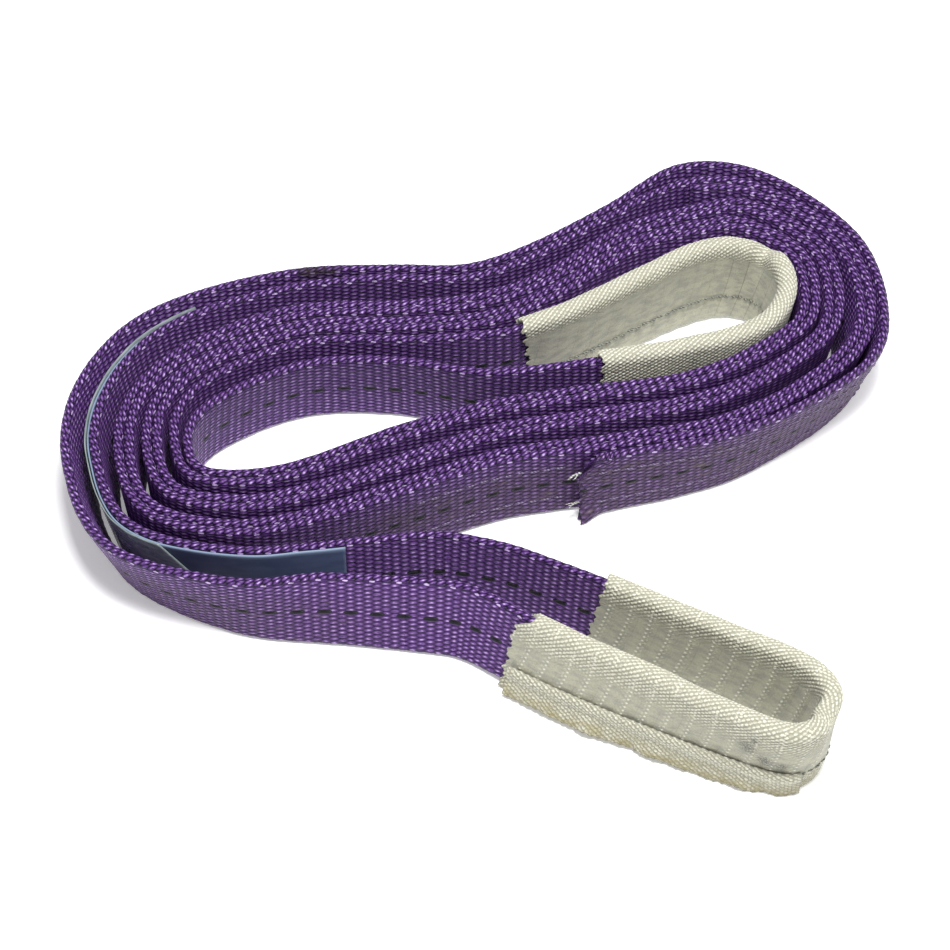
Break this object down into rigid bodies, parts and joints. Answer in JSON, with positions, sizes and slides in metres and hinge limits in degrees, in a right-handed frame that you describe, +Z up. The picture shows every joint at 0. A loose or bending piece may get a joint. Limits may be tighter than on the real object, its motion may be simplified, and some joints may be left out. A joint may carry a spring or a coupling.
{
  "type": "flat web sling",
  "caption": "Violet duplex flat web sling with a white sleeved eye at each end, wound into a loose oval coil standing on its edge.",
  "frame": {"origin": "under the middle of the coil's outline, on the surface it stands on", "axes": "+Z up across the webbing width, +X to the right end of the coil, +Y to its back"},
  "size_m": [0.2913, 0.2803, 0.0344],
  "materials": {
    "webbing": "woven satin",
    "sleeve": "ribbed woven",
    "seam_thread": "matt",
    "body_thread": "matt",
    "loose_thread": "matt",
    "label": "smooth",
    "film": "clear film"
  },
  "bodies": {
    "coil": {"turn_3_inner_ply": "webbing", "turn_2_inner_ply": "webbing", "turn_1_inner_ply": "webbing", "inner_eye_loop": "webbing", "turn_1_outer_ply": "webbing", "turn_2_outer_ply": "webbing", "turn_3_outer_ply": "webbing", "turn_4_inner_ply": "webbing", "turn_4_outer_ply": "webbing", "lapped_outer_end": "webbing", "inner_eye_sleeve": "sleeve", "inner_sleeve_seam": "seam_thread", "label": "label", "label_film": "film", "body_stitch_1": "body_thread", "body_stitch_2": "body_thread", "lap_stitch_1": "body_thread", "lap_stitch_2": "body_thread", "thread_tail_1": "loose_thread", "thread_tail_2": "loose_thread"},
    "outer_eye": {"outer_eye_loop": "webbing", "outer_eye_sleeve": "sleeve", "outer_sleeve_seam": "seam_thread"}
  },
  "joints": [
    {"name": "outer_eye_swing", "type": "hinge", "parent": "coil", "child": "outer_eye", "pos_m": [-0.00481, -0.06427, 0.015], "axis": [0, 0, 1], "range_deg": [-7, 12]}
  ]
}
